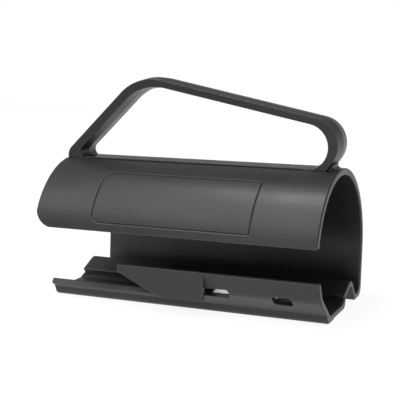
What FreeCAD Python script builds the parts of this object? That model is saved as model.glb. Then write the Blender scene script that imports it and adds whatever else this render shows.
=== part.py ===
import FreeCAD, Part
import math
import os
import re
import Sketcher

# Hand cutter for gift wrap paper.  A C-shaped shell rides along the roll, its trough carries a
# blade cartridge behind the leaning front wall, and a loop handle stands on the crown.
# Millimetres.  X runs along the tube, -Y is the front where the paper comes out, Z is up.
# The origin lies on the table, under the tube's axis, half way along the shell.

DIMENSIONS = {
    # Tube and back wall
    "shell_length": 121.0,
    "tube_radius": 32.2,
    "shell_wall": 2.7,
    "axis_height": 23.8,
    "lip_height": 9.0,
    "lip_corner": 9.0,
    "lip_bite": 0.15,
    "back_lean": 4.5,
    "heel_round": 4.2,
    "valley_floor": 2.3,
    "valley_round": 1.4,
    "valley_rear_round": 4.5,
    # Hump between the valley and the trough
    "crest_rear": 17.1,
    "crest_height": 11.1,
    "crest_tilt": 24.0,
    "hump_slope": 50.0,
    "hump_wall": 2.2,
    "crest_round": 5.5,
    "brow_round": 0.8,
    "leg_rear": 8.6,
    "leg_round": 3.0,
    # Trough: rail groove, floor and keel
    "rail_edge": 6.0,
    "rail_height": 4.0,
    "rail_gap": 1.4,
    "rail_depth": 1.0,
    "rail_slope": 25.0,
    "floor_height": 2.8,
    "floor_round": 0.9,
    "keel_front": 17.1,
    "keel_lean": 1.7,
    "keel_height": 4.1,
    "keel_width": 8.0,
    "keel_round": 3.2,
    # Front wall
    "front_wall": 2.4,
    "chin_angle": 40.0,
    "chin_height": 10.9,
    "chin_round": 8.0,
    "wall_angle": 65.7,
    "wall_top": 19.1,
    "brim_round": 0.8,
    # Paper notch, slit and latch window in the front wall
    "sill_height": 5.8,
    "sill_round": 1.2,
    "notch_inset": 1.0,
    "slit_right": 23.2,
    "slit_height": 10.65,
    "slit_gap": 3.9,
    "slit_round": 1.2,
    "window_left": 40.7,
    "window_length": 8.0,
    "window_height": 9.8,
    # Blade guard hanging from the wall's top edge
    "guard_thickness": 1.5,
    "guard_tip": 24.0,
    "guard_tip_round": 1.2,
    "guard_slope": 26.0,
    "guard_toe": 6.1,
    "guard_toe_round": 16.0,
    "guard_right": 13.6,
    "guard_bottom": 7.6,
    # Label panel outline engraved on the front of the tube
    "panel_left": 34.8,
    "panel_right": 33.6,
    "panel_angle": 40.7,
    "panel_half_width": 12.1,
    "panel_corner": 4.5,
    "groove_width": 0.5,
    "groove_depth": 0.35,
    # Handle
    "land_drop": 0.7,
    "land_right": 57.5,
    "strap_width": 10.6,
    "grip_width": 13.4,
    "grip_draft": 5.0,
    "grip_height": 31.5,
    "grip_slope": 11.4,
    "grip_thickness": 4.0,
    "leg_angle": 44.3,
    "leg_thickness": 4.8,
    "foot_left": 59.9,
    "foot_height": 3.6,
    "foot_round": 6.0,
    "foot_stock": 1.0,
    "shoulder_round": 21.0,
    "shoulder_inside": 19.4,
    "heel_right": 55.9,
    "heel_angle": 55.0,
    "bow_round": 11.2,
    "bow_inside": 8.55,
    "toe_right": 45.5,
    "toe_left": 49.5,
    "crotch_round": 2.2,
    # Blade cartridge
    "running_gap": 0.3,
    "blade_front": 18.8,
    "blade_foot": 8.65,
    "blade_lean": 8.0,
    "blade_thickness": 0.5,
    "blade_tip": 13.0,
    "blade_length": 27.0,
    "blade_height": 5.6,
    "blade_angle": 45.0,
    "carrier_thickness": 3.4,
    "carrier_rise": 5.9,
    "carrier_left": 17.6,
    "carrier_length": 33.0,
    "carrier_foot": 3.3,
    "tongue_gap": 0.25,
    "base_thickness": 0.9,
    "clamp_thickness": 1.0,
    "clamp_left": 24.6,
    "clamp_length": 19.0,
    "clamp_rise": 0.9,
    "stud_radius": 1.0,
    "stud_clearance": 0.1,
    "stud_first": 29.0,
    "stud_spacing": 8.0,
    "stud_depth": 2.4,
    "edge_round": 0.7,
    "rim_round": 0.5,
}

document = FreeCAD.newDocument("paper_cutter")
sheet = document.addObject("Spreadsheet::Sheet", "Dimensions")
for row, (alias, number) in enumerate(DIMENSIONS.items(), start=1):
    sheet.set(f"A{row}", alias)
    sheet.set(f"B{row}", str(number))
    sheet.setAlias(f"B{row}", alias)
document.recompute()


def formula(text):
    """The text as an expression, with every size's name pointed at its cell of the sheet."""
    def cell(match):
        name = match.group(0)
        return f"Dimensions.{name}" if name in DIMENSIONS else name
    return re.sub(r"[a-z][a-z_]*", cell, text)


def measure(text):
    """What the expression comes to, as a number."""
    return float(sheet.evalExpression(formula(text)))


# Expressions that several pieces share ------------------------------------------------------

HALF = "(shell_length / 2)"
OUTER_RADIUS = "(tube_radius + shell_wall)"
CROWN = f"(axis_height + {OUTER_RADIUS})"
LAND = f"({CROWN} - land_drop)"
UNDERSIDE = "(floor_height - front_wall)"

# Outside of the front wall: keel's top edge, bend and top edge, as distances to the front.
KEEL_TOP = "(keel_front + keel_lean)"
CREASE = f"({KEEL_TOP} + (chin_height - keel_height) / tan(chin_angle))"
WALL_TOP = f"({CREASE} + (wall_top - chin_height) / tan(wall_angle))"

# Inside of the front wall, where the chin rises from the trough's floor.
TROUGH_FRONT = (f"({KEEL_TOP} - front_wall * sin(chin_angle)"
                " - (keel_height + front_wall * cos(chin_angle) - floor_height) / tan(chin_angle))")

# The inner bend stands off the outer one by the wall, measured square to both of its faces.
CREASE_TURN = "(front_wall / cos((wall_angle - chin_angle) / 2))"
INNER_CREASE = f"({CREASE} - {CREASE_TURN} * sin((wall_angle + chin_angle) / 2))"
INNER_CREASE_HEIGHT = f"(chin_height + {CREASE_TURN} * cos((wall_angle + chin_angle) / 2))"

# Underside of the hump's crest, one hump wall below its two faces.
CREST_TURN = "(hump_wall / cos((hump_slope + crest_tilt) / 2))"
CREST_UNDER = f"(crest_rear - {CREST_TURN} * sin((hump_slope - crest_tilt) / 2))"
CREST_UNDER_HEIGHT = f"(crest_height - {CREST_TURN} * cos((hump_slope - crest_tilt) / 2))"


def back_wall(radius, height):
    """How far behind the axis the leaning back wall stands, on the tangent of this radius."""
    return f"({radius} / cos(back_lean) - (axis_height - {height}) * tan(back_lean))"


# Sketching ----------------------------------------------------------------------------------

def sketch_on(body, plane, name, lift="0"):
    """A sketch on one of the body's own planes, lifted off it along the plane's normal."""
    sketch = body.newObject("Sketcher::SketchObject", name)
    origin_plane = next(item for item in body.Origin.OriginFeatures if item.Role == plane)
    sketch.AttachmentSupport = [(origin_plane, "")]
    sketch.MapMode = "FlatFace"
    sketch.setExpression("AttachmentOffset.Base.z", formula(lift))
    document.recompute()
    return sketch


def bind(sketch, constraint, text):
    """Ties a constraint's value to an expression."""
    sketch.setExpression(f"Constraints[{constraint}]", formula(text))


def place(sketch, kind, geometry, end, text):
    """Holds a point of the sketch at a bound distance from the sketch's own origin."""
    number = sketch.addConstraint(Sketcher.Constraint(kind, -1, 1, geometry, end, measure(text)))
    bind(sketch, number, text)


def corner_arc(before, corner, after, radius):
    """The arc that rounds a corner, with its two ends in the order of the outline."""
    towards = (before - corner).normalize()
    away = (after - corner).normalize()
    half_angle = towards.getAngle(away) / 2
    start = corner + towards * (radius / math.tan(half_angle))
    end = corner + away * (radius / math.tan(half_angle))
    middle = corner + (towards + away).normalize() * (radius / math.sin(half_angle))
    turns_left = (corner - before).cross(after - corner).z > 0
    first, last = (start, end) if turns_left else (end, start)
    first_angle = math.atan2(first.y - middle.y, first.x - middle.x)
    last_angle = math.atan2(last.y - middle.y, last.x - middle.x)
    circle = Part.Circle(middle, FreeCAD.Vector(0, 0, 1), radius)
    return Part.ArcOfCircle(circle, first_angle, last_angle), start, end, turns_left


def outline(sketch, corners):
    """Draws a closed outline through corners (across, up, radius) and binds it to the sheet.

    A corner without a radius stays sharp.  A rounded one keeps a construction point where its
    two straight runs would meet, so every corner is placed by the same two dimensions.
    """
    places = [FreeCAD.Vector(measure(across), measure(up), 0) for across, up, _ in corners]
    count = len(corners)
    starts = list(places)
    ends = list(places)
    arcs = {}
    for index, (_, _, radius) in enumerate(corners):
        if radius:
            before = places[index - 1]
            after = places[(index + 1) % count]
            arc, ends[index], starts[index], turns_left = corner_arc(
                before, places[index], after, measure(radius))
            arcs[index] = (arc, turns_left)
    runs = [sketch.addGeometry(Part.LineSegment(starts[index], ends[(index + 1) % count]), False)
            for index in range(count)]
    for index, (across, up, radius) in enumerate(corners):
        incoming = runs[index - 1]
        outgoing = runs[index]
        if radius:
            arc, turns_left = arcs[index]
            rounding = sketch.addGeometry(arc, False)
            entry, leave = (1, 2) if turns_left else (2, 1)
            sketch.addConstraint(Sketcher.Constraint("Tangent", incoming, 2, rounding, entry))
            sketch.addConstraint(Sketcher.Constraint("Tangent", rounding, leave, outgoing, 1))
            size = sketch.addConstraint(Sketcher.Constraint("Radius", rounding, measure(radius)))
            bind(sketch, size, radius)
            vertex, end = sketch.addGeometry(Part.Point(places[index]), True), 1
            sketch.addConstraint(Sketcher.Constraint("PointOnObject", vertex, 1, incoming))
            sketch.addConstraint(Sketcher.Constraint("PointOnObject", vertex, 1, outgoing))
        else:
            sketch.addConstraint(Sketcher.Constraint("Coincident", incoming, 2, outgoing, 1))
            vertex, end = outgoing, 1
        place(sketch, "DistanceX", vertex, end, across)
        place(sketch, "DistanceY", vertex, end, up)
    return sketch


def c_section(sketch):
    """The C of the tube: two concentric arcs from the back wall's tangent over to the lip."""
    arcs = []
    for radius in (OUTER_RADIUS, "tube_radius"):
        centre = FreeCAD.Vector(0, measure("axis_height"), 0)
        circle = Part.Circle(centre, FreeCAD.Vector(0, 0, 1), measure(radius))
        back_angle = -math.radians(measure("back_lean"))
        lip_angle = math.pi - math.asin(measure("lip_height") / measure(radius))
        arc = sketch.addGeometry(Part.ArcOfCircle(circle, back_angle, lip_angle), False)
        sketch.addConstraint(Sketcher.Constraint("PointOnObject", arc, 3, -2))
        place(sketch, "DistanceY", arc, 3, "axis_height")
        place(sketch, "DistanceY", arc, 1, f"axis_height - {radius} * sin(back_lean)")
        place(sketch, "DistanceY", arc, 2, "axis_height + lip_height")
        size = sketch.addConstraint(Sketcher.Constraint("Radius", arc, measure(radius)))
        bind(sketch, size, radius)
        arcs.append(arc)
    outer, inner = arcs
    for end in (1, 2):
        points = [sketch.getPoint(arc, end) for arc in (outer, inner)]
        joint = sketch.addGeometry(Part.LineSegment(*points), False)
        sketch.addConstraint(Sketcher.Constraint("Coincident", joint, 1, outer, end))
        sketch.addConstraint(Sketcher.Constraint("Coincident", joint, 2, inner, end))
    return sketch


# Features -----------------------------------------------------------------------------------

def new_body(name):
    """An empty body whose label is the name of its piece."""
    body = document.addObject("PartDesign::Body", name)
    body.Label = name
    return body


def pad(body, sketch, length, midplane=False, away=False):
    """Pads a closed sketch by a bound length."""
    feature = body.newObject("PartDesign::Pad", f"{sketch.Name}Pad")
    feature.Profile = sketch
    feature.SideType = "Symmetric" if midplane else "One side"
    feature.Reversed = away
    feature.setExpression("Length", formula(length))
    document.recompute()
    return feature


def pocket(body, sketch, forward):
    """Cuts a closed sketch through everything on one side of it, and checks that it cuts."""
    before = body.Shape.Volume
    feature = body.newObject("PartDesign::Pocket", f"{sketch.Name}Pocket")
    feature.Profile = sketch
    feature.Type = "ThroughAll"
    feature.Reversed = forward
    document.recompute()
    if feature.Shape.Volume >= before:
        raise RuntimeError(f"{feature.Name} cuts nothing")
    return feature


def fillet(body, name, radius, chosen):
    """Rounds the edges of the body's tip that the test picks out."""
    tip = body.Tip
    edges = [f"Edge{number}" for number, edge in enumerate(tip.Shape.Edges, start=1) if chosen(edge)]
    feature = body.newObject("PartDesign::Fillet", name)
    feature.Base = (tip, edges)
    feature.setExpression("Radius", formula(radius))
    document.recompute()
    return feature


def close(first, second, tolerance=0.001):
    """Whether two lengths are the same for the purpose of finding an edge."""
    return abs(first - second) < tolerance


# Shell --------------------------------------------------------------------------------------

def on_end(edge):
    """Whether an edge lies flat on one of the shell's two end faces."""
    box = edge.BoundBox
    return box.XLength < 0.001 and close(abs(box.XMin), measure(HALF))


BRIM = f"({WALL_TOP} - brim_round / tan(wall_angle / 2) + brim_round)"
SILL_FRONT = f"({KEEL_TOP} + (sill_height - keel_height) / tan(chin_angle))"
SILL_REAR_HEIGHT = "(sill_height + shell_wall * cos(chin_angle))"
NOTCH_FOOT = (f"(-guard_toe + (guard_bottom - {SILL_REAR_HEIGHT}) / tan(guard_slope)"
              " + notch_inset / sin(guard_slope))")
NOTCH_SIDE = "(-guard_tip + notch_inset)"


def lower_section(sketch):
    """Back wall, valley, hump, trough and front wall, anticlockwise from the tube's tangent."""
    brow_under_height = f"{CREST_UNDER_HEIGHT} - ({CREST_UNDER} - leg_rear) * tan(crest_tilt)"
    return outline(sketch, [
        (f"{OUTER_RADIUS} * cos(back_lean)", f"axis_height - {OUTER_RADIUS} * sin(back_lean)", None),
        ("tube_radius * cos(back_lean)", "axis_height - tube_radius * sin(back_lean)", None),
        (back_wall("tube_radius", "valley_floor"), "valley_floor", "valley_rear_round"),
        ("crest_rear + (crest_height - valley_floor) / tan(hump_slope)", "valley_floor",
         "valley_round"),
        ("crest_rear", "crest_height", "crest_round"),
        ("rail_edge", "crest_height - (crest_rear - rail_edge) * tan(crest_tilt)", "brow_round"),
        ("rail_edge", "rail_height + rail_gap", None),
        ("rail_edge + rail_depth", "rail_height + rail_gap", None),
        ("rail_edge + rail_depth", "rail_height", None),
        ("rail_edge", "rail_height", None),
        ("rail_edge - (rail_height - floor_height) / tan(rail_slope)", "floor_height", None),
        (f"-{TROUGH_FRONT}", "floor_height", "floor_round"),
        (f"-{INNER_CREASE}", INNER_CREASE_HEIGHT, "chin_round - front_wall"),
        (f"-({WALL_TOP} - front_wall / sin(wall_angle))", "wall_top", "brim_round"),
        (f"-{WALL_TOP}", "wall_top", "brim_round"),
        (f"-{CREASE}", "chin_height", "chin_round"),
        (f"-{KEEL_TOP}", "keel_height", None),
        ("-keel_front", "0", "keel_round"),
        ("-keel_front + keel_width", "0", None),
        (f"-keel_front + keel_width + {UNDERSIDE}", UNDERSIDE, None),
        ("leg_rear", UNDERSIDE, "leg_round"),
        ("leg_rear", brow_under_height, "floor_round"),
        (CREST_UNDER, CREST_UNDER_HEIGHT, "crest_round - hump_wall"),
        (f"{CREST_UNDER} + {CREST_UNDER_HEIGHT} / tan(hump_slope)", "0", None),
        (back_wall(OUTER_RADIUS, "0"), "0", "heel_round"),
    ])


def panel_groove():
    """What the label panel's outline takes out of the front of the tube."""
    frame = new_body("PanelFrame")
    sketch = sketch_on(frame, "XY_Plane", "Panel")
    for inset in ("0", "groove_width"):
        outline(sketch, [
            (f"-panel_left + {inset}", f"-panel_half_width + {inset}", f"panel_corner - {inset}"),
            (f"panel_right - {inset}", f"-panel_half_width + {inset}", f"edge_round - {inset}"),
            (f"panel_right - {inset}", f"panel_half_width - {inset}", f"edge_round - {inset}"),
            (f"-panel_left + {inset}", f"panel_half_width - {inset}", f"panel_corner - {inset}"),
        ])
    pad(frame, sketch, f"{OUTER_RADIUS} + shell_wall")
    frame.setExpression("Placement.Base.z", "Dimensions.axis_height")
    frame.Placement.Rotation = FreeCAD.Rotation(FreeCAD.Vector(1, 0, 0), 1)
    frame.setExpression("Placement.Rotation.Angle", formula("90 - panel_angle"))

    core = document.addObject("Part::Cylinder", "PanelCore")
    core.setExpression("Radius", formula(f"{OUTER_RADIUS} - groove_depth"))
    core.setExpression("Height", "Dimensions.shell_length")
    core.Placement.Rotation = FreeCAD.Rotation(FreeCAD.Vector(0, 1, 0), 90)
    core.setExpression("Placement.Base.x", formula(f"-{HALF}"))
    core.setExpression("Placement.Base.z", "Dimensions.axis_height")
    groove = document.addObject("Part::Cut", "PanelGroove")
    groove.Base = frame
    groove.Tool = core
    return groove


def body_shell():
    """The one moulding that wraps the roll, with its trough, slits and blade guard."""
    body = new_body("ShellBody")
    pad(body, c_section(sketch_on(body, "YZ_Plane", "Tube")), "shell_length", midplane=True)
    pad(body, lower_section(sketch_on(body, "YZ_Plane", "Trough")), "shell_length", midplane=True)

    land = outline(sketch_on(body, "XY_Plane", "Land", LAND), [
        (f"-{HALF} - shell_wall", "-grip_width", None),
        ("land_right", "-grip_width", None),
        ("land_right", "grip_width", None),
        (f"-{HALF} - shell_wall", "grip_width", None),
    ])
    pocket(body, land, forward=True)

    notch = outline(sketch_on(body, "XZ_Plane", "Notch", TROUGH_FRONT), [
        (f"-{HALF} - shell_wall", SILL_REAR_HEIGHT, None),
        (NOTCH_FOOT, SILL_REAR_HEIGHT, "sill_round"),
        (NOTCH_SIDE, f"{SILL_REAR_HEIGHT} + ({NOTCH_FOOT} - {NOTCH_SIDE}) * tan(guard_slope)", None),
        (NOTCH_SIDE, "wall_top + shell_wall", None),
        (f"-{HALF} - shell_wall", "wall_top + shell_wall", None),
    ])
    pocket(body, notch, forward=True)

    for name, left, right, height in (
            ("Slit", "-guard_tip", "slit_right", "slit_height"),
            ("Window", "window_left", "window_left + window_length", "window_height")):
        slot = outline(sketch_on(body, "XZ_Plane", name, TROUGH_FRONT), [
            (left, f"{height} - slit_gap / 2", "slit_round"),
            (right, f"{height} - slit_gap / 2", "slit_round"),
            (right, f"{height} + slit_gap / 2", "slit_round"),
            (left, f"{height} + slit_gap / 2", "slit_round"),
        ])
        pocket(body, slot, forward=True)

    guard = outline(sketch_on(body, "XZ_Plane", "Guard", f"{BRIM} - guard_thickness"), [
        ("-guard_tip", "wall_top", None),
        ("-guard_tip", "guard_bottom + (guard_tip - guard_toe) * tan(guard_slope)", "guard_tip_round"),
        ("-guard_toe", "guard_bottom", "guard_toe_round"),
        ("guard_right", "guard_bottom", "edge_round"),
        ("guard_right", "wall_top", None),
    ])
    pad(body, guard, "guard_thickness")

    lip = "(axis_height + lip_height)"
    lip_corner = outline(sketch_on(body, "XZ_Plane", "LipCorner", TROUGH_FRONT), [
        (f"-{HALF} - lip_bite", f"{lip} - lip_bite", "lip_corner"),
        (f"-{HALF} - lip_bite", f"{lip} + lip_corner", None),
        (f"-{HALF} - shell_wall", f"{lip} + lip_corner", None),
        (f"-{HALF} - shell_wall", f"{lip} - shell_wall", None),
        (f"-{HALF} + lip_corner", f"{lip} - shell_wall", None),
        (f"-{HALF} + lip_corner", f"{lip} - lip_bite", None),
    ])
    pocket(body, lip_corner, forward=True)
    fillet(body, "Rims", "rim_round", on_end)

    # The sill's top lies square to the chin, so the notch's floor is trimmed down to the front.
    front_limit = f"-{SILL_FRONT} - 3 * shell_wall * sin(chin_angle)"
    rear_limit = f"-{SILL_FRONT} + 2 * shell_wall * sin(chin_angle)"
    rear_height = "sill_height + 2 * shell_wall * cos(chin_angle)"
    sill = outline(sketch_on(body, "YZ_Plane", "Sill", f"{NOTCH_FOOT} - sill_round"), [
        (front_limit, "sill_height - 3 * shell_wall * cos(chin_angle)", None),
        (rear_limit, rear_height, None),
        (front_limit, rear_height, None),
    ])
    pocket(body, sill, forward=False)

    shell = document.addObject("Part::Cut", "body_shell")
    shell.Label = "body_shell"
    shell.Base = body
    shell.Tool = panel_groove()
    document.recompute()
    return shell


# Handle -------------------------------------------------------------------------------------

SHOULDER = ("((grip_height - foot_height - foot_left * tan(leg_angle))"
            " / (tan(leg_angle) + tan(grip_slope)))")
BOW = "((grip_height + heel_right * tan(heel_angle)) / (tan(heel_angle) + tan(grip_slope)))"
INNER_TOP = "(grip_height - grip_thickness / cos(grip_slope))"
INNER_LEG = "(foot_height - leg_thickness / cos(leg_angle))"
INNER_SHOULDER = (f"(({INNER_TOP} - {INNER_LEG} - foot_left * tan(leg_angle))"
                  " / (tan(leg_angle) + tan(grip_slope)))")


def loop_outline(sketch):
    """The loop at its parting plane: round the outside first, then back along the inside."""
    return outline(sketch, [
        ("-foot_left", f"{LAND} - foot_stock", None),
        ("-foot_left", f"{LAND} + foot_height", "foot_round"),
        (SHOULDER, f"{LAND} + grip_height - {SHOULDER} * tan(grip_slope)", "shoulder_round"),
        (BOW, f"{LAND} + grip_height - {BOW} * tan(grip_slope)", "bow_round"),
        ("heel_right - foot_stock / tan(heel_angle)", f"{LAND} - foot_stock", None),
        ("toe_right", f"{LAND} - foot_stock", None),
        ("toe_right", CROWN, None),
        (f"({INNER_TOP} - land_drop) / tan(grip_slope)", CROWN, "bow_inside"),
        (INNER_SHOULDER, f"{LAND} + {INNER_TOP} - {INNER_SHOULDER} * tan(grip_slope)",
         "shoulder_inside"),
        (f"-foot_left + (land_drop - {INNER_LEG}) / tan(leg_angle)", CROWN, "crotch_round"),
        ("-toe_left", CROWN, None),
        ("-toe_left", f"{LAND} - foot_stock", None),
    ])


def rectangle(sketch, left, right, front, back):
    """A sharp-cornered rectangle between four bound sides."""
    return outline(sketch, [(left, front, None), (right, front, None),
                            (right, back, None), (left, back, None)])


def handle():
    """Loop grip with two drafted halves, standing on a strap along the shell's crown."""
    body = new_body("handle")
    loop = body.newObject("PartDesign::Pad", "LoopPad")
    loop.Profile = loop_outline(sketch_on(body, "XZ_Plane", "Loop"))
    loop.SideType = "Two sides"
    for length, taper in (("Length", "TaperAngle"), ("Length2", "TaperAngle2")):
        loop.setExpression(length, formula("grip_width / 2"))
        loop.setExpression(taper, formula("-grip_draft"))
    document.recompute()

    stock = rectangle(sketch_on(body, "XY_Plane", "Stock", LAND),
                      "-shell_length", "shell_length", "-grip_width", "grip_width")
    pocket(body, stock, forward=False)
    strap = rectangle(sketch_on(body, "XY_Plane", "Strap", LAND),
                      "-foot_left", "land_right - running_gap",
                      "-strap_width / 2", "strap_width / 2")
    pad(body, strap, "land_drop")
    return body


# Blade cartridge ----------------------------------------------------------------------------

BASE_BOTTOM = "(rail_height + tongue_gap)"
BASE_TOP = f"({BASE_BOTTOM} + base_thickness)"
STUD_HEIGHT = "(blade_height / 2)"


def stand_behind_wall(piece):
    """Stands a flat piece up so that its X-Y plane is the blade's front face.

    Its Y then climbs from the blade's foot, and its -Z goes back into the trough.
    """
    piece.setExpression("Placement.Base.y", formula("-blade_front"))
    piece.setExpression("Placement.Base.z", formula("blade_foot"))
    piece.Placement.Rotation = FreeCAD.Rotation(FreeCAD.Vector(1, 0, 0), 1)
    piece.setExpression("Placement.Rotation.Angle", formula("90 - blade_lean"))


def slanted_plate(sketch, left, length, low, high):
    """A parallelogram whose ends lean by the blade's angle."""
    lean = f"(({high}) - ({low})) / tan(blade_angle)"
    return outline(sketch, [
        (left, low, None),
        (f"{left} + {length}", low, None),
        (f"{left} + {length} + {lean}", high, None),
        (f"{left} + {lean}", high, None),
    ])


def stud_circles(sketch, radius):
    """The two stud positions as circles."""
    for across in ("stud_first", "stud_first + stud_spacing"):
        middle = FreeCAD.Vector(measure(across), measure(STUD_HEIGHT), 0)
        circle = sketch.addGeometry(
            Part.Circle(middle, FreeCAD.Vector(0, 0, 1), measure(radius)), False)
        size = sketch.addConstraint(Sketcher.Constraint("Radius", circle, measure(radius)))
        bind(sketch, size, radius)
        place(sketch, "DistanceX", circle, 3, across)
        place(sketch, "DistanceY", circle, 3, STUD_HEIGHT)
    return sketch


def blade():
    """Flat steel blade with a slanted cutting end and two holes for the clamp's studs."""
    body = new_body("blade")
    plate = slanted_plate(sketch_on(body, "XY_Plane", "Steel"),
                          "blade_tip", "blade_length", "0", "blade_height")
    pad(body, plate, "blade_thickness", away=True)
    pocket(body, stud_circles(sketch_on(body, "XY_Plane", "StudHoles"),
                              "stud_radius + stud_clearance"), forward=False)
    stand_behind_wall(body)
    return body


def blade_clamp():
    """Cover that holds the blade against the carrier by two studs."""
    body = new_body("blade_clamp")
    plate = slanted_plate(sketch_on(body, "XY_Plane", "Cover"),
                          "clamp_left", "clamp_length", "clamp_rise", "blade_height")
    pad(body, plate, "clamp_thickness")
    studs = stud_circles(sketch_on(body, "XY_Plane", "Studs"), "stud_radius")
    pad(body, studs, "blade_thickness + stud_depth", away=True)
    stand_behind_wall(body)
    return body


def behind_blade(depth, height):
    """How far across the trough a plane stands that is this deep behind the blade's face."""
    return f"(-blade_front + {depth} / cos(blade_lean) + ({height} - blade_foot) * tan(blade_lean))"


def behind_chin(height):
    """How far across the trough the carrier may come to the front at this height."""
    return (f"(-{TROUGH_FRONT} - ({height} - floor_height) / tan(chin_angle)"
            " + running_gap / sin(chin_angle))")


def blade_carrier():
    """Sliding carrier: an upstand behind the blade, and a base whose tongue runs in the rail."""
    body = new_body("CarrierBody")
    back_face = "(blade_thickness + carrier_thickness)"
    tongue_end = "rail_edge + rail_depth - tongue_gap"
    toe = (f"(({behind_chin('0')} - {behind_blade('blade_thickness', '0')})"
           " / (tan(blade_lean) + 1 / tan(chin_angle)))")

    def top(depth):
        """Height of the upstand's top, square to the blade, at this depth behind its face."""
        return f"(blade_foot + carrier_rise * cos(blade_lean) - {depth} * sin(blade_lean))"

    section = outline(sketch_on(body, "YZ_Plane", "Section", "carrier_left"), [
        (behind_chin(BASE_BOTTOM), BASE_BOTTOM, None),
        (tongue_end, BASE_BOTTOM, None),
        (tongue_end, BASE_TOP, None),
        (f"{behind_chin(BASE_TOP)} + carrier_foot", BASE_TOP, "floor_round"),
        (behind_blade(back_face, toe), toe, "floor_round"),
        (behind_blade(back_face, top(back_face)), top(back_face), None),
        (behind_blade("blade_thickness", top("blade_thickness")), top("blade_thickness"), None),
        (behind_blade("blade_thickness", toe), toe, None),
    ])
    pad(body, section, "carrier_length")

    holes = []
    for number, across in enumerate(("stud_first", "stud_first + stud_spacing"), start=1):
        hole = document.addObject("Part::Cylinder", f"StudHole{number}")
        hole.setExpression("Radius", formula("stud_radius + stud_clearance"))
        hole.setExpression("Height", formula("blade_thickness + stud_depth + stud_clearance"))
        hole.Placement.Rotation = FreeCAD.Rotation(FreeCAD.Vector(1, 0, 0), 1)
        hole.setExpression("Placement.Rotation.Angle", formula("-90 - blade_lean"))
        hole.setExpression("Placement.Base.x", formula(across))
        hole.setExpression("Placement.Base.y", formula(
            f"-blade_front + {STUD_HEIGHT} * sin(blade_lean)"))
        hole.setExpression("Placement.Base.z", formula(
            f"blade_foot + {STUD_HEIGHT} * cos(blade_lean)"))
        holes.append(hole)
    both = document.addObject("Part::MultiFuse", "StudHoles")
    both.Shapes = holes
    carrier = document.addObject("Part::Cut", "blade_carrier")
    carrier.Label = "blade_carrier"
    carrier.Base = body
    carrier.Tool = both
    document.recompute()
    return carrier


pieces = [body_shell(), handle(), blade(), blade_clamp(), blade_carrier()]
document.recompute()

# Check and write ----------------------------------------------------------------------------

for item in document.Objects:
    if "Invalid" in item.State or "Error" in item.State:
        raise RuntimeError(f"{item.Name} failed: {item.State}")

os.makedirs("parts", exist_ok=True)
for piece in pieces:
    if piece.Shape.isNull() or not piece.Shape.isValid() or len(piece.Shape.Solids) != 1:
        raise RuntimeError(f"{piece.Label} isn't one valid solid")
    piece.Shape.exportStep(f"parts/{piece.Label}.step")
    print(f"{piece.Label}: {piece.Shape.Volume:.0f} mm3")
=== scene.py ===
import math
import bmesh
import bpy
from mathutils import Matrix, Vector


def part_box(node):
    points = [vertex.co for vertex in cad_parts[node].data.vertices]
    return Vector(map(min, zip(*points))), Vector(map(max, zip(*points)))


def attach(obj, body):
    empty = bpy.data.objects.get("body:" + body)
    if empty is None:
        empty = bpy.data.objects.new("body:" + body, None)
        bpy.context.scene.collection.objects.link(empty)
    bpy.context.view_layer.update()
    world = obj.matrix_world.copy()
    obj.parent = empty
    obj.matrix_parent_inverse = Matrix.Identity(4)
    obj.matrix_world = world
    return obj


# The looks, light and camera of the gift wrap paper cutter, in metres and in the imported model's
# own frame: X runs along the tube, -Y is the open front with its slit, and Z is up.

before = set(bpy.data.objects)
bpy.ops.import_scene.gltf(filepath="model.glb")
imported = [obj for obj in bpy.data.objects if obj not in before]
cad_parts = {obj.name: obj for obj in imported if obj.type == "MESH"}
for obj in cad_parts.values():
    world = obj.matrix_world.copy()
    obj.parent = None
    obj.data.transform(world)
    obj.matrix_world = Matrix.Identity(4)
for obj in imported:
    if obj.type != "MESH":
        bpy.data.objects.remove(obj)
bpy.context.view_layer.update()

MM = 0.001

# The photograph's camera, in the cutter's own frame.
CAMERA_PLACE = Vector((162.24, -378.17, 111.07)) * MM
CAMERA_AZIMUTH = math.radians(23.281)
CAMERA_ELEVATION = math.radians(9.482)
CAMERA_LENS = 90.076
CAMERA_SENSOR = 36.0
CAMERA_CLIP_START = 0.01

# Soft boxes: name, place, point looked at, width and height, and power in watts.  The glint is
# small and low, for the blade, whose grinding lines spread it.
LAMPS = (
    ("key", (-0.35, -0.8, 1.1), (0.0, 0.0, 0.05), (1.3, 0.9), 11.5),
    ("top", (-0.26, -0.12, 1.3), (0.0, 0.0, 0.05), (0.3, 0.3), 5.6),
    ("glint", (0.12, -1.0, 0.10), (0.0, 0.0, 0.01), (0.15, 0.15), 1.5),
)

# Light from all round, and the backdrop as gloss sees it: white low down, dim overhead.
WORLD_LEVEL = 0.3
CEILING_LEVEL = 0.15
BACKDROP_FADE = (math.radians(-6.0), math.radians(26.0))

# The floor, and the glow that whitens it where the camera or a gloss sees it.
FLOOR_SIZE = 2.0
FLOOR_COLOUR = (0.82, 0.82, 0.82, 1.0)
FLOOR_WHITE = 1.13
FLOOR_GLOW = 0.8

# What all the plastics share: the edges' painted highlight and rubbed wear, the painted shade in
# grooves, shine and the scales of their textures.
EDGE_RADIUS = 0.6 * MM
EDGE_SAMPLES = 8
# Where the painted highlight and rubbed wear on the edges start and where they are full.
EDGE_START, EDGE_FULL = 0.995, 0.90
# The painted shade in grooves and narrow corners: how far it looks, and where it starts and where
# it is full.
CREVICE_REACH = 0.8 * MM
CREVICE_SAMPLES = 8
CREVICE_START, CREVICE_FULL = 0.92, 0.55
PLASTIC_SHINE = 0.36
NOISE_SPAN = (0.3, 0.7)
NOISE_ROUGHNESS = 0.55
FLOW_SCALE, FLOW_DETAIL = 18.0, 3.0
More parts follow.
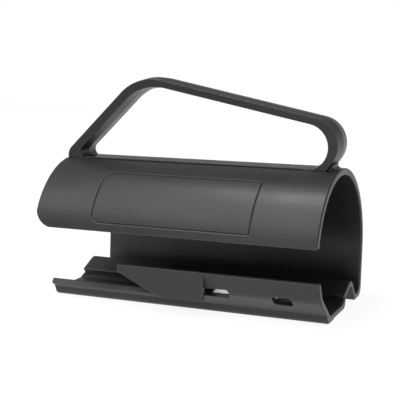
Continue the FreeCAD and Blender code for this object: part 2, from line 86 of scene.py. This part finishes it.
# The noise that breaks up the painted highlight and rubbed wear on the edges.
HIGHLIGHT_AND_WEAR_SCALE, HIGHLIGHT_AND_WEAR_DETAIL, HIGHLIGHT_AND_WEAR_LEAST = 140.0, 3.0, 0.5
PATCH_SCALE, PATCH_DETAIL = 55.0, 4.0
SPARK_SCALE, SPARK_DETAIL = 2600.0, 2.0
SPARK_STRENGTH = 0.25
SPARK_DEPTH = 0.02 * MM

# What both steels share: the grinding lines.
GRIND_SCALE, GRIND_DETAIL = 900.0, 3.0
GRIND_STRENGTH = 0.15
GRIND_DEPTH = 0.01 * MM

# The plastics' base colours and roughness, the colour of the painted highlight and rubbed wear on
# their edges, and the painted shade in their grooves.
BLACK = (0.024, 0.024, 0.0245)
DEEP_BLACK = (0.018, 0.018, 0.0185)
LIFTED_BLACK = (0.030, 0.030, 0.0305)
# Painted shade for the grooves and narrow corners of the shell and the carrier.
PAINTED_SHADE_BLACK = (0.003, 0.003, 0.003)
# Each plastic's edge colour is a painted highlight together with rubbed wear, and its crevice
# colour is painted shade.
PLASTICS = {
    "shell_plastic": {"dark": BLACK, "light": LIFTED_BLACK, "edge_highlight_and_wear": (0.090, 0.090, 0.091),
                      "crevice_shade": PAINTED_SHADE_BLACK, "roughness": (0.34, 0.42)},
    "handle_plastic": {"dark": (0.011, 0.011, 0.0115), "light": (0.016, 0.016, 0.0165),
                       "edge_highlight_and_wear": (0.075, 0.075, 0.076), "crevice_shade": (0.008, 0.008, 0.008),
                       "roughness": (0.32, 0.40)},
    "carrier_plastic": {"dark": DEEP_BLACK, "light": BLACK, "edge_highlight_and_wear": (0.040, 0.040, 0.041),
                        "crevice_shade": PAINTED_SHADE_BLACK, "roughness": (0.42, 0.52)},
    "fillet_plastic": {"dark": DEEP_BLACK, "light": BLACK, "edge_highlight_and_wear": LIFTED_BLACK,
                       "crevice_shade": BLACK, "roughness": (0.34, 0.42)},
}
STEELS = {
    "blade_steel": {"colour": (0.95, 0.95, 0.94), "shade": (0.88, 0.88, 0.87),
                    "roughness": (0.34, 0.42), "stretch": (1.0, 0.05, 0.05), "spread": 1.0},
    "clamp_steel": {"colour": (0.60, 0.60, 0.60), "shade": (0.50, 0.50, 0.50),
                    "roughness": (0.30, 0.45), "stretch": (0.05, 1.0, 1.0), "spread": 0.4},
}
NODE_FINISHES = {"body_shell": "shell_plastic", "handle": "handle_plastic",
                 "blade_carrier": "carrier_plastic", "blade": "blade_steel",
                 "blade_clamp": "clamp_steel"}

# The fillet under the handle's right heel.  The heel leans out over the flat land, and the land
# lies LAND_DROP below the tube's crown.
HEEL_FOOT = 55.9 * MM
HEEL_ANGLE = math.radians(55.0)
LAND_DROP = 0.7 * MM
FILLET_RADIUS = 1.05 * MM
FILLET_HALF_WIDTH = 5.5 * MM
FILLET_TAPER, FILLET_TAPER_POWER = 0.9, 10
FILLET_STATIONS = 17
FILLET_STEPS = 8


def add_camera():
    """The camera at the photograph's viewing angle."""
    data = bpy.data.cameras.new("camera")
    data.sensor_width = CAMERA_SENSOR
    data.lens = CAMERA_LENS
    data.clip_start = CAMERA_CLIP_START
    camera = bpy.data.objects.new("camera", data)
    camera.location = CAMERA_PLACE
    camera.rotation_euler = (math.pi / 2 - CAMERA_ELEVATION, 0.0, CAMERA_AZIMUTH)
    bpy.context.collection.objects.link(camera)
    bpy.context.scene.camera = camera


def node_tree(material):
    """An emptied node tree with its output node."""
    material.use_nodes = True
    tree = material.node_tree
    tree.nodes.clear()
    output = tree.nodes.new("ShaderNodeOutputMaterial")
    return tree, output


def noise(tree, scale, detail):
    """A noise texture laid on the object's own coordinates."""
    coordinates = tree.nodes.new("ShaderNodeTexCoord")
    texture = tree.nodes.new("ShaderNodeTexNoise")
    texture.inputs["Scale"].default_value = scale
    texture.inputs["Detail"].default_value = detail
    texture.inputs["Roughness"].default_value = NOISE_ROUGHNESS
    tree.links.new(coordinates.outputs["Object"], texture.inputs["Vector"])
    return texture.outputs["Fac"]


def map_range(tree, value, source, target=(0.0, 1.0)):
    """A value carried from one range to another, and held within it."""
    node = tree.nodes.new("ShaderNodeMapRange")
    for name, number in zip(("From Min", "From Max", "To Min", "To Max"), (*source, *target)):
        node.inputs[name].default_value = number
    tree.links.new(value, node.inputs["Value"])
    return node.outputs["Result"]


def either(tree, first, second):
    """The larger of two values."""
    node = tree.nodes.new("ShaderNodeMath")
    node.operation = "MAXIMUM"
    tree.links.new(first, node.inputs[0])
    if isinstance(second, float):
        node.inputs[1].default_value = second
    else:
        tree.links.new(second, node.inputs[1])
    return node.outputs["Value"]


def times(tree, value, factor):
    """A value times a number or another value."""
    node = tree.nodes.new("ShaderNodeMath")
    node.operation = "MULTIPLY"
    tree.links.new(value, node.inputs[0])
    if isinstance(factor, float):
        node.inputs[1].default_value = factor
    else:
        tree.links.new(factor, node.inputs[1])
    return node.outputs["Value"]


def mix_colours(tree, factor, first, second):
    """A colour between two, by a value.  The first may be another node's colour."""
    node = tree.nodes.new("ShaderNodeMix")
    node.data_type = "RGBA"
    place_a, place_b, result = (
        next(socket for socket in sockets if socket.name == name and socket.type == "RGBA")
        for sockets, name in ((node.inputs, "A"), (node.inputs, "B"), (node.outputs, "Result")))
    if isinstance(first, tuple):
        place_a.default_value = (*first, 1.0)
    else:
        tree.links.new(first, place_a)
    place_b.default_value = (*second, 1.0)
    tree.links.new(factor, node.inputs["Factor"])
    return result


def edge_highlight_and_wear_mask(tree, rounded):
    """1 where the rounded normal leaves the surface's own, at the edges, and 0 on the faces:
    where a painted highlight, together with rubbed wear, lightens the edges.
    """
    surface = tree.nodes.new("ShaderNodeNewGeometry")
    turn = tree.nodes.new("ShaderNodeVectorMath")
    turn.operation = "DOT_PRODUCT"
    tree.links.new(rounded, turn.inputs[0])
    tree.links.new(surface.outputs["Normal"], turn.inputs[1])
    return map_range(tree, turn.outputs["Value"], (EDGE_START, EDGE_FULL))


def crevice_shade_mask(tree):
    """1 in grooves and narrow corners, and 0 on open faces: where shade is painted into the
    colour.
    """
    occlusion = tree.nodes.new("ShaderNodeAmbientOcclusion")
    occlusion.samples = CREVICE_SAMPLES
    occlusion.only_local = True
    occlusion.inputs["Distance"].default_value = CREVICE_REACH
    return map_range(tree, occlusion.outputs["AO"], (CREVICE_START, CREVICE_FULL))


def bump_from(tree, height, strength, depth):
    """A bump node that raises the surface by a height value."""
    bump = tree.nodes.new("ShaderNodeBump")
    bump.inputs["Strength"].default_value = strength
    bump.inputs["Distance"].default_value = depth
    tree.links.new(height, bump.inputs["Height"])
    return bump


def moulded_plastic(name, dark, light, edge_highlight_and_wear, crevice_shade, roughness):
    """Black moulded plastic: spark texture, faint flow marks, edges lightened by a painted
    highlight together with rubbed wear, and painted shade in the grooves.
    """
    material = bpy.data.materials.new(name)
    tree, output = node_tree(material)
    shader = tree.nodes.new("ShaderNodeBsdfPrincipled")
    tree.links.new(shader.outputs["BSDF"], output.inputs["Surface"])
    shader.inputs["Specular IOR Level"].default_value = PLASTIC_SHINE
    bevel = tree.nodes.new("ShaderNodeBevel")
    bevel.samples = EDGE_SAMPLES
    bevel.inputs["Radius"].default_value = EDGE_RADIUS
    flow = map_range(tree, noise(tree, FLOW_SCALE, FLOW_DETAIL), NOISE_SPAN)
    edge_highlight_and_wear_share = times(tree, edge_highlight_and_wear_mask(tree, bevel.outputs["Normal"]),
                map_range(tree, noise(tree, HIGHLIGHT_AND_WEAR_SCALE, HIGHLIGHT_AND_WEAR_DETAIL), NOISE_SPAN, (HIGHLIGHT_AND_WEAR_LEAST, 1.0)))
    # Edges lightened by a painted highlight and rubbed wear, then grooves darkened by painted
    # shade.
    highlit_and_worn = mix_colours(tree, edge_highlight_and_wear_share, mix_colours(tree, flow, dark, light), edge_highlight_and_wear)
    tree.links.new(mix_colours(tree, crevice_shade_mask(tree), highlit_and_worn, crevice_shade), shader.inputs["Base Color"])
    patches = noise(tree, PATCH_SCALE, PATCH_DETAIL)
    tree.links.new(map_range(tree, patches, NOISE_SPAN, roughness), shader.inputs["Roughness"])
    spark = bump_from(tree, noise(tree, SPARK_SCALE, SPARK_DETAIL), SPARK_STRENGTH, SPARK_DEPTH)
    tree.links.new(bevel.outputs["Normal"], spark.inputs["Normal"])
    tree.links.new(spark.outputs["Normal"], shader.inputs["Normal"])
    return material


def steel(name, colour, shade, roughness, stretch, spread):
    """Ground steel: fine grinding lines, and a gloss that spreads across them."""
    material = bpy.data.materials.new(name)
    tree, output = node_tree(material)
    shader = tree.nodes.new("ShaderNodeBsdfPrincipled")
    tree.links.new(shader.outputs["BSDF"], output.inputs["Surface"])
    shader.inputs["Metallic"].default_value = 1.0
    shader.inputs["Anisotropic"].default_value = spread
    across = tree.nodes.new("ShaderNodeTangent")
    across.direction_type = "RADIAL"
    across.axis = "Z"
    tree.links.new(across.outputs["Tangent"], shader.inputs["Tangent"])
    coordinates = tree.nodes.new("ShaderNodeTexCoord")
    mapping = tree.nodes.new("ShaderNodeMapping")
    mapping.inputs["Scale"].default_value = stretch
    lines = tree.nodes.new("ShaderNodeTexNoise")
    lines.inputs["Scale"].default_value = GRIND_SCALE
    lines.inputs["Detail"].default_value = GRIND_DETAIL
    tree.links.new(coordinates.outputs["Object"], mapping.inputs["Vector"])
    tree.links.new(mapping.outputs["Vector"], lines.inputs["Vector"])
    streaks = map_range(tree, lines.outputs["Fac"], NOISE_SPAN)
    tree.links.new(mix_colours(tree, streaks, colour, shade), shader.inputs["Base Color"])
    tree.links.new(map_range(tree, lines.outputs["Fac"], NOISE_SPAN, roughness),
                   shader.inputs["Roughness"])
    grind = bump_from(tree, lines.outputs["Fac"], GRIND_STRENGTH, GRIND_DEPTH)
    tree.links.new(grind.outputs["Normal"], shader.inputs["Normal"])
    return material


def finish_node(name, material):
    """Gives a CAD node its material."""
    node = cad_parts[name]
    node.data.materials.clear()
    node.data.materials.append(material)


def fillet_outline(crown, radius):
    """The fillet's section: the hollow arc, closed inside the heel and down on the land."""
    corner = HEEL_FOOT + LAND_DROP / math.tan(HEEL_ANGLE)
    reach = radius / math.sin(HEEL_ANGLE / 2)
    middle_x = corner + reach * math.cos(HEEL_ANGLE / 2)
    middle_z = crown + reach * math.sin(HEEL_ANGLE / 2)
    first_turn, last_turn = math.radians(270.0), HEEL_ANGLE + math.radians(90.0)
    turns = [first_turn + (last_turn - first_turn) * step / FILLET_STEPS
             for step in range(FILLET_STEPS + 1)]
    outline = [(middle_x + radius * math.cos(turn), middle_z + radius * math.sin(turn))
               for turn in turns]
    heel_x, heel_z = outline[-1]
    return outline + [(heel_x - LAND_DROP, heel_z), (corner - LAND_DROP, crown - LAND_DROP),
                      (middle_x, crown - LAND_DROP)]


def heel_fillet(material):
    """The moulded radius in the corner between the handle's heel and the tube's crown."""
    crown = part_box("body_shell")[1][2]
    mesh = bmesh.new()
    rings = []
    for station in range(FILLET_STATIONS):
        across = -1.0 + 2.0 * station / (FILLET_STATIONS - 1)
        radius = FILLET_RADIUS * (1.0 - FILLET_TAPER * across ** FILLET_TAPER_POWER)
        outline = fillet_outline(crown, radius)
        rings.append([mesh.verts.new((x, across * FILLET_HALF_WIDTH, z)) for x, z in outline])
    count = len(rings[0])
    for ring, following in zip(rings, rings[1:]):
        for index in range(count):
            after = (index + 1) % count
            mesh.faces.new((ring[index], ring[after], following[after], following[index]))
    mesh.faces.new(rings[0])
    mesh.faces.new(reversed(rings[-1]))
    bmesh.ops.recalc_face_normals(mesh, faces=mesh.faces)
    for face in mesh.faces:
        face.smooth = True
    data = bpy.data.meshes.new("heel_fillet")
    mesh.to_mesh(data)
    mesh.free()
    data.materials.append(material)
    piece = bpy.data.objects.new("heel_fillet", data)
    bpy.context.collection.objects.link(piece)
    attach(piece, "shell")


def ray_kinds(tree):
    """Whether a ray comes from the camera, and whether it comes by gloss or through glass."""
    path = tree.nodes.new("ShaderNodeLightPath")
    by_gloss = either(tree, path.outputs["Is Glossy Ray"], path.outputs["Is Transmission Ray"])
    return path.outputs["Is Camera Ray"], by_gloss


def add_floor():
    """A pale floor that reads white and keeps the object's soft shadow."""
    mesh = bpy.data.meshes.new("floor")
    half = FLOOR_SIZE / 2
    mesh.from_pydata([(-half, -half, 0), (half, -half, 0), (half, half, 0), (-half, half, 0)],
                     [], [(0, 1, 2, 3)])
    floor = bpy.data.objects.new("floor", mesh)
    bpy.context.collection.objects.link(floor)
    material = bpy.data.materials.new("floor_paper")
    tree, output = node_tree(material)
    paper = tree.nodes.new("ShaderNodeBsdfDiffuse")
    paper.inputs["Color"].default_value = FLOOR_COLOUR
    glow = tree.nodes.new("ShaderNodeEmission")
    glow.inputs["Strength"].default_value = FLOOR_WHITE
    blend = tree.nodes.new("ShaderNodeMixShader")
    from_camera, by_gloss = ray_kinds(tree)
    tree.links.new(times(tree, either(tree, from_camera, by_gloss), FLOOR_GLOW),
                   blend.inputs["Fac"])
    tree.links.new(paper.outputs["BSDF"], blend.inputs[1])
    tree.links.new(glow.outputs["Emission"], blend.inputs[2])
    tree.links.new(blend.outputs["Shader"], output.inputs["Surface"])
    mesh.materials.append(material)


def set_world():
    """White behind the object and at the horizon, and plain soft grey light on the object."""
    world = bpy.data.worlds.new("studio")
    bpy.context.scene.world = world
    world.use_nodes = True
    tree = world.node_tree
    tree.nodes.clear()
    output = tree.nodes.new("ShaderNodeOutputWorld")
    background = tree.nodes.new("ShaderNodeBackground")
    background.inputs["Color"].default_value = (1.0, 1.0, 1.0, 1.0)
    direction = tree.nodes.new("ShaderNodeTexCoord")
    height = tree.nodes.new("ShaderNodeSeparateXYZ")
    tree.links.new(direction.outputs["Generated"], height.inputs["Vector"])
    backdrop = map_range(tree, height.outputs["Z"], [math.sin(angle) for angle in BACKDROP_FADE],
                         (1.0, CEILING_LEVEL))
    from_camera, by_gloss = ray_kinds(tree)
    seen = either(tree, from_camera, times(tree, by_gloss, backdrop))
    tree.links.new(either(tree, seen, WORLD_LEVEL), background.inputs["Strength"])
    tree.links.new(background.outputs["Background"], output.inputs["Surface"])


def add_lamp(name, place, target, size, power):
    """A soft box that looks at a point of the object."""
    data = bpy.data.lights.new(name, "AREA")
    data.shape = "RECTANGLE"
    data.size, data.size_y = size
    data.energy = power
    lamp = bpy.data.objects.new(name, data)
    lamp.location = Vector(place)
    lamp.rotation_euler = (Vector(target) - Vector(place)).to_track_quat("-Z", "Y").to_euler()
    bpy.context.collection.objects.link(lamp)


add_camera()
bpy.context.scene.view_settings.view_transform = "Standard"
set_world()
add_floor()
for lamp in LAMPS:
    add_lamp(*lamp)

materials = {name: moulded_plastic(name, **finish) for name, finish in PLASTICS.items()}
materials |= {name: steel(name, **finish) for name, finish in STEELS.items()}
for node_name, material_name in NODE_FINISHES.items():
    finish_node(node_name, materials[material_name])
heel_fillet(materials["fillet_plastic"])
